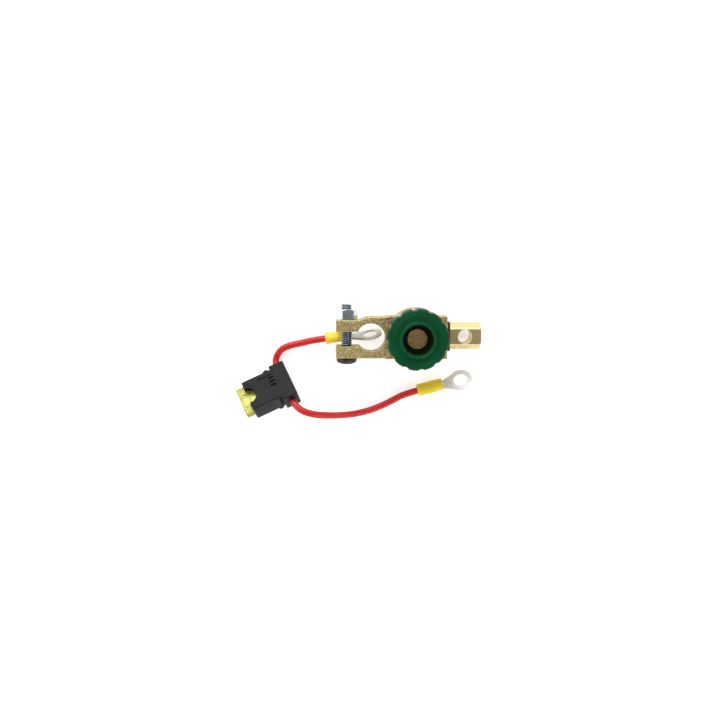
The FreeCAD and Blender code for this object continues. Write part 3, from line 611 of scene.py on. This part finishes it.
# %% [markdown]
# The face under the knob is turned bright on a lathe, while the casting round it keeps its
# skin. It stands a little higher than that skin, so its height alone picks it out.

# %% Turned face of the clamp
tree = cast_brass.node_tree
rings = place(tree, turning, object_place(tree), Scale=700.0)
turned_face = blend_tones(tree, rings.outputs["Rings"], tone(214, 196, 150), tone(250, 240, 212))
repaint(cast_brass, between_heights(tree, 21.52, 21.62, 0.0, 1.0), turned_face)
print("clamp's face turned")

# %% [markdown]
# The end of the contact screw was turned too, and only a trace of its rings is left under
# the brown. The rings are therefore mixed in at less than a third.

# %% Faint rings on the screw's end
RINGS_LEFT = 0.3

tree = screw_brass.node_tree
rings = place(tree, turning, object_place(tree), Scale=520.0)
repaint(screw_brass, product(tree, rings.outputs["Rings"], RINGS_LEFT), tone(72, 46, 26))
print("screw's end ringed")

# %% [markdown]
# The roots of the bolt's thread get painted shade, a darker blue grey, while the crests keep
# the plated tone. The bolt lies along Y, so the distance from its axis is measured across X and
# Z.

# %% Painted shade in the thread's roots
tree = bolt_steel.node_tree
roots = place(tree, around, object_place(tree), Centre=(-42.1 * MM, 0, 14.5 * MM),
              Flatten=(1, 0, 1), Inner=2.85 * MM, Outer=3.4 * MM)
repaint(bolt_steel, roots.outputs["Inside"], tone(62, 70, 84))
print("thread shaded_at_roots")

# %% [markdown]
# Each solid of the frame keeps its form and gets the finish of the real piece. One table
# says which, so a finish can be changed in one place.

# %% Give each solid its finish
FINISH_OF = {
    "clamp_casting": cast_brass, "stud_casting": stud_brass, "insulator_plate": fibre,
    "bush_front": nylon, "bush_rear": nylon, "tie_screws": zinc, "clamp_bolt": bolt_steel,
    "clamp_nut": zinc, "knob": green, "contact_screw": screw_brass, "knob_seal": rubber,
    "ring_terminal_a": tin, "ring_terminal_b": tin, "sleeve_a": vinyl, "sleeve_b": vinyl,
    "cable_a": red, "cable_b": red, "holder_top": black, "holder_bottom": black,
    "fuse_contact_a": tin_brass, "fuse_contact_b": tin_brass, "fuse_body": clear,
    "fuse_link": fuse_zinc,
}
for name, material in FINISH_OF.items():
    solid = nodes[name]
    solid.data.materials.clear()
    solid.data.materials.append(material)
print("finishes given:", len(FINISH_OF))

# %% [markdown]
# The lead's red cable is one soft round line. A NURBS spline with the route's own points as
# its control points gives that line, and a round bevel gives it thickness.

# %% Cables
CABLE_R = 2.1
ROUTE_A = [
    (-23.34, -1.51, 4.65), (-35.81, -3.37, 3.11), (-43.20, -5.30, 2.25), (-50.00, -6.60, 2.20),
    (-55.60, -8.90, 2.15), (-59.00, -13.20, 2.50), (-59.69, -18.57, 3.80), (-56.82, -23.31, 7.74),
]
ROUTE_B = [
    (-49.09, -36.08, 18.33), (-46.13, -40.96, 22.38), (-40.40, -44.80, 24.30),
    (-32.20, -47.00, 22.90), (-24.80, -48.30, 18.00), (-18.30, -49.60, 11.40),
    (-10.40, -50.10, 5.60), (-1.00, -48.60, 2.70), (7.20, -45.50, 2.20), (14.40, -41.80, 2.40),
    (21.33, -37.63, 3.44), (33.98, -34.00, 4.52),
]


def cable(name, route):
    curve = bpy.data.curves.new(name, "CURVE")
    curve.dimensions = "3D"
    curve.bevel_depth = CABLE_R * MM
    curve.bevel_resolution = 7
    curve.use_fill_caps = True
    spline = curve.splines.new("NURBS")
    spline.points.add(len(route) - 1)
    for point, place_at in zip(spline.points, route):
        point.co = (*from_post(*place_at), 1)
    spline.order_u = 3
    spline.use_endpoint_u = True
    spline.resolution_u = 14
    piece = bpy.data.objects.new(name, curve)
    bpy.context.scene.collection.objects.link(piece)
    curve.materials.append(red)
    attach(piece, "base")
    return piece


red_a = cable("red_cable_a", ROUTE_A)
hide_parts("cable_a")
red_b = cable("red_cable_b", ROUTE_B)
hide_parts("cable_b")
print("cables laid")

# %% [markdown]
# The clamp bolt has a thread that shows between the jaws and past the nut. One turn of the
# thread is a small zigzag line: root, flank, crest, flank. The Screw modifier winds it up
# the shank, and each turn's end meets the next turn's start, so merging the doubles gives
# one skin. It is wound longer than the shank, and two flat cuts close it to a solid.

# %% Thread of the clamp bolt
BOLT_X = -14.65
BOLT_Z = 14.5
BOLT_FROM = -12.5
BOLT_R = 3.5
THREAD_PITCH = 1.25
THREAD_DEPTH = 0.75
THREAD_PROFILE = ((0, 0.10), (THREAD_DEPTH, 0.36), (0, 0.14), (-THREAD_DEPTH, 0.40))
THREAD_STEPS = 40
TURNS_BELOW = 2.37
THREAD_START = 3.3
SPARE = 0.6
SHANK_END = 32.4


def cut_flat(height, keep_above):
    bpy.ops.mesh.select_all(action="SELECT")
    bpy.ops.mesh.bisect(plane_co=(0, 0, height), plane_no=(0, 0, 1), use_fill=True,
                        clear_inner=keep_above, clear_outer=not keep_above)


fresh_start()
bpy.ops.mesh.primitive_plane_add(size=1 * MM, location=(0, 0, 0))
thread = bpy.context.object
bpy.ops.object.mode_set(mode="EDIT")
bpy.ops.mesh.merge(type="CENTER")
bpy.ops.transform.translate(value=((BOLT_R - THREAD_DEPTH) * MM, 0, 0))
for step_out, step_up in THREAD_PROFILE:
    bpy.ops.mesh.extrude_region_move(
        TRANSFORM_OT_translate={"value": (step_out * MM, 0, step_up * THREAD_PITCH * MM)})
bpy.ops.object.mode_set(mode="OBJECT")
winding = thread.modifiers.new("winding", "SCREW")
winding.axis = "Z"
winding.steps = winding.render_steps = THREAD_STEPS
winding.screw_offset = THREAD_PITCH * MM
winding.iterations = int((SHANK_END - THREAD_START) / THREAD_PITCH) + 4
winding.use_merge_vertices = False
apply_all(thread)
bpy.ops.object.mode_set(mode="EDIT")
bpy.ops.mesh.select_all(action="SELECT")
bpy.ops.mesh.remove_doubles(threshold=0.00001)
bpy.ops.transform.translate(value=(0, 0, (THREAD_START - TURNS_BELOW * THREAD_PITCH) * MM))
cut_flat((THREAD_START - SPARE) * MM, True)
cut_flat((SHANK_END + SPARE) * MM, False)
bpy.ops.mesh.select_all(action="SELECT")
bpy.ops.mesh.normals_make_consistent(inside=False)
bpy.ops.object.mode_set(mode="OBJECT")
print("thread faces:", len(thread.data.polygons))

# %% [markdown]
# A bolt's end is chamfered so that the nut starts easily. The chamfer is what is left of the
# thread inside a lathed blank with a pointed end, so the blank and the thread are intersected
# with the Boolean modifier. That also trims both ends of the thread clean.

# %% Blank with the chamfer
BOLT_TIP = 0.7
HALF_SHANK = (SHANK_END - THREAD_START) / 2

fresh_start()
bpy.ops.mesh.primitive_cylinder_add(
    vertices=64, radius=(BOLT_R + 0.01) * MM, depth=2 * HALF_SHANK * MM,
    location=(0, 0, (THREAD_START + HALF_SHANK) * MM))
blank = bpy.context.object
bpy.ops.object.mode_set(mode="EDIT")
bpy.ops.mesh.select_all(action="DESELECT")
bpy.ops.object.mode_set(mode="OBJECT")
for edge in blank.data.edges:
    ends = [blank.data.vertices[v].co.z for v in edge.vertices]
    edge.select = min(ends) > 0.99 * HALF_SHANK * MM
bpy.ops.object.mode_set(mode="EDIT")
bpy.ops.mesh.select_mode(type="EDGE")
bpy.ops.mesh.bevel(offset=BOLT_TIP * MM, segments=1)
bpy.ops.object.mode_set(mode="OBJECT")
bpy.ops.object.transform_apply(location=True, rotation=False, scale=False)
print("blank faces:", len(blank.data.polygons))

# %% [markdown]
# The cut leaves slivers where the thread runs out. Doubles are merged, slivers dissolved,
# what is left open is filled, and only then are the normals turned outwards. At last the
# thread is laid on its side, into the holes of the jaws.

# %% Trim the thread and lay it in place
chamfer = thread.modifiers.new("chamfer", "BOOLEAN")
chamfer.operation = "INTERSECT"
chamfer.solver = "EXACT"
chamfer.object = blank
apply_all(thread)
bpy.data.objects.remove(blank)
only(thread)
bpy.ops.object.mode_set(mode="EDIT")
bpy.ops.mesh.select_all(action="SELECT")
bpy.ops.mesh.remove_doubles(threshold=0.00002)
bpy.ops.mesh.dissolve_degenerate(threshold=0.00001)
bpy.ops.mesh.select_all(action="SELECT")
bpy.ops.mesh.fill_holes(sides=0)
bpy.ops.mesh.select_all(action="SELECT")
bpy.ops.mesh.normals_make_consistent(inside=False)
bpy.ops.object.mode_set(mode="OBJECT")
thread.rotation_euler = (math.radians(-90), 0, 0)
thread.location = from_post(BOLT_X, BOLT_FROM, BOLT_Z)
close_piece(thread, "bolt_thread", bolt_steel, smooth=28, replaces=["clamp_bolt"])

# %% [markdown]
# The head is a low cushion. It is a disc whose outer rim is bevelled wide and round, and
# whose middle is inset and lifted a little, as a forging die leaves it.

# %% Head of the clamp bolt
HEAD_R = 6.3
HEAD_H = 3.6
HEAD_ROUND = 2.4
CROWN_IN = 1.6
CROWN_UP = 0.3

fresh_start()
bpy.ops.mesh.primitive_cylinder_add(vertices=72, radius=HEAD_R * MM, depth=HEAD_H * MM,
                                    location=(0, 0, -HEAD_H / 2 * MM))
cup = bpy.context.object
bpy.ops.object.transform_apply(location=True, rotation=False, scale=False)
bpy.ops.object.mode_set(mode="EDIT")
bpy.ops.mesh.select_mode(type="EDGE")
bpy.ops.mesh.select_all(action="DESELECT")
bpy.ops.object.mode_set(mode="OBJECT")
for edge in cup.data.edges:
    edge.select = max(cup.data.vertices[v].co.z for v in edge.vertices) < -0.9 * HEAD_H * MM
bpy.ops.object.mode_set(mode="EDIT")
bpy.ops.mesh.bevel(offset=HEAD_ROUND * MM, segments=8, profile=0.55)
bpy.ops.mesh.select_all(action="DESELECT")
bpy.ops.object.mode_set(mode="OBJECT")
for face in cup.data.polygons:
    face.select = face.center.z < -0.99 * HEAD_H * MM
bpy.ops.object.mode_set(mode="EDIT")
bpy.ops.mesh.select_mode(type="FACE")
bpy.ops.mesh.inset(thickness=CROWN_IN * MM)
bpy.ops.transform.translate(value=(0, 0, -CROWN_UP * MM))
bpy.ops.object.mode_set(mode="OBJECT")
print("head faces:", len(cup.data.polygons))

# %% [markdown]
# A square neck sits in a square seat in the front jaw, so the bolt can't turn while the nut
# is tightened. It is cut from a cube and joined to the head, and a Bevel modifier softens
# the edges of both.

# %% Neck of the clamp bolt
NECK_W = 7.0
NECK_L = 3.5


def soften_edges(piece, width, segments=2, angle=30):
    soften = piece.modifiers.new("soften", "BEVEL")
    soften.width = width * MM
    soften.segments = segments
    soften.limit_method = "ANGLE"
    soften.angle_limit = math.radians(angle)
    apply_all(piece)


fresh_start()
bpy.ops.mesh.primitive_cube_add(size=NECK_W * MM, location=(0, 0, NECK_W / 2 * MM))
neck = bpy.context.object
bpy.ops.object.transform_apply(location=True, rotation=False, scale=False)
bpy.ops.object.mode_set(mode="EDIT")
cut_flat(NECK_L * MM, False)
bpy.ops.object.mode_set(mode="OBJECT")
only(cup)
neck.select_set(True)
bpy.ops.object.join()
soften_edges(cup, 0.3, angle=40)
cup.rotation_euler = (math.radians(-90), 0, 0)
cup.location = from_post(BOLT_X, BOLT_FROM, BOLT_Z)
close_piece(cup, "bolt_head", head_black, smooth=40, replaces=["clamp_bolt"])

# %% [markdown]
# The fuse holder lies turned and tilted on its cable. The fuse in its nose is modelled in
# the holder's own axes, where it is a plain flat block, and gets this place at the end.

# %% Place of the holder
HOLDER_CENTRE = from_post(-61.5, -33.5, 14.68)
HOLDER_TURNS = (24.0, 10.0, -36.0)

holder_turn = (Matrix.Rotation(math.radians(HOLDER_TURNS[0]), 4, "Z")
               @ Matrix.Rotation(math.radians(HOLDER_TURNS[1]), 4, "Y")
               @ Matrix.Rotation(math.radians(HOLDER_TURNS[2]), 4, "X"))
print("holder x axis", tuple(round(v, 4) for v in holder_turn.col[0][:3]))

# %% [markdown]
# Two helpers for the fuse: a block between six limits in millimetres, and a cut that takes
# such a block away with the Boolean modifier.

# %% Helpers for blocks and cuts


def block(x0, x1, y0, y1, z0, z1):
    fresh_start()
    bpy.ops.mesh.primitive_cube_add(
        size=1, location=((x0 + x1) / 2 * MM, (y0 + y1) / 2 * MM, (z0 + z1) / 2 * MM),
        scale=((x1 - x0) * MM, (y1 - y0) * MM, (z1 - z0) * MM))
    item = bpy.context.object
    bpy.ops.object.transform_apply(location=True, rotation=False, scale=True)
    return item


def cut_away(piece, tool):
    cut = piece.modifiers.new("cut", "BOOLEAN")
    cut.operation = "DIFFERENCE"
    cut.solver = "EXACT"
    cut.object = tool
    apply_all(piece)
    bpy.data.objects.remove(tool)


print("block and cut ready")

# %% [markdown]
# The body of the blade fuse is a flat block with two shoulders that stop on the holder. Two
# cuts across the block mark the waist, the middle of its back is extruded to the waist's
# length, and a Bevel modifier rounds it as the mould would.

# %% Body of the blade fuse
FUSE_FRONT = -19.25
FUSE_STEP = -11.05
FUSE_BACK = -6.85
FUSE_HALF = 9.55
FUSE_WAIST = 7.7
FUSE_HIGH = 2.55
FUSE_ROUND = 0.62

fuse = block(FUSE_FRONT, FUSE_STEP, -FUSE_HALF, FUSE_HALF, -FUSE_HIGH, FUSE_HIGH)
bpy.ops.object.mode_set(mode="EDIT")
for side in (-1, 1):
    bpy.ops.mesh.select_all(action="SELECT")
    bpy.ops.mesh.bisect(plane_co=(0, side * FUSE_WAIST * MM, 0), plane_no=(0, 1, 0))
bpy.ops.mesh.select_all(action="DESELECT")
bpy.ops.object.mode_set(mode="OBJECT")
for face in fuse.data.polygons:
    face.select = face.center.x > (FUSE_STEP - 0.1) * MM and abs(face.center.y) < 1 * MM
bpy.ops.object.mode_set(mode="EDIT")
bpy.ops.mesh.select_mode(type="FACE")
bpy.ops.mesh.extrude_region_move(
    TRANSFORM_OT_translate={"value": ((FUSE_BACK - FUSE_STEP) * MM, 0, 0)})
bpy.ops.object.mode_set(mode="OBJECT")
soften_edges(fuse, FUSE_ROUND, 3)
print("fuse block faces:", len(fuse.data.polygons))

# %% [markdown]
# Each face of the fuse has a sunk window in the middle, through which the link is seen, and
# two pairs of slots at the sides for a tester's tips. The outer end has two grooves for the
# tool that pulls it. All are blocks taken away, and a last small bevel breaks their edges.

# %% Windows, slots and grooves of the fuse
WINDOW_EDGE = 1.5
WINDOW_HALF = 3.8
WINDOW_DEEP = 0.8
SLOT_X = (-14.9, -16.9)
SLOT_Y = 6.6
SLOT_HALF_W = 0.45
SLOT_HALF_L = 1.9
SLOT_DEEP = 0.5
GROOVE_Y = 6.2
GROOVE_HALF_L = 1.5
GROOVE_HALF_W = 0.7
GROOVE_DEEP = 0.9
PAST = 1.0

for up in (-1, 1):
    low, high = sorted((up * (FUSE_HIGH - WINDOW_DEEP), up * (FUSE_HIGH + PAST)))
    cut_away(fuse, block(FUSE_FRONT + WINDOW_EDGE, FUSE_BACK - WINDOW_EDGE,
                         -WINDOW_HALF, WINDOW_HALF, low, high))
    low, high = sorted((up * (FUSE_HIGH - SLOT_DEEP), up * (FUSE_HIGH + PAST)))
    for x in SLOT_X:
        for y in (-SLOT_Y, SLOT_Y):
            cut_away(fuse, block(x - SLOT_HALF_W, x + SLOT_HALF_W,
                                 y - SLOT_HALF_L, y + SLOT_HALF_L, low, high))
for y in (-GROOVE_Y, GROOVE_Y):
    cut_away(fuse, block(FUSE_FRONT - PAST, FUSE_FRONT + GROOVE_DEEP,
                         y - GROOVE_HALF_L, y + GROOVE_HALF_L, -GROOVE_HALF_W, GROOVE_HALF_W))
soften_edges(fuse, 0.1, 1)
fuse.matrix_world = Matrix.Translation(HOLDER_CENTRE) @ holder_turn
close_piece(fuse, "fuse_shell", clear, body="fuse", smooth=32, replaces=["fuse_body"])

# %% [markdown] End

print("all pieces dressed")
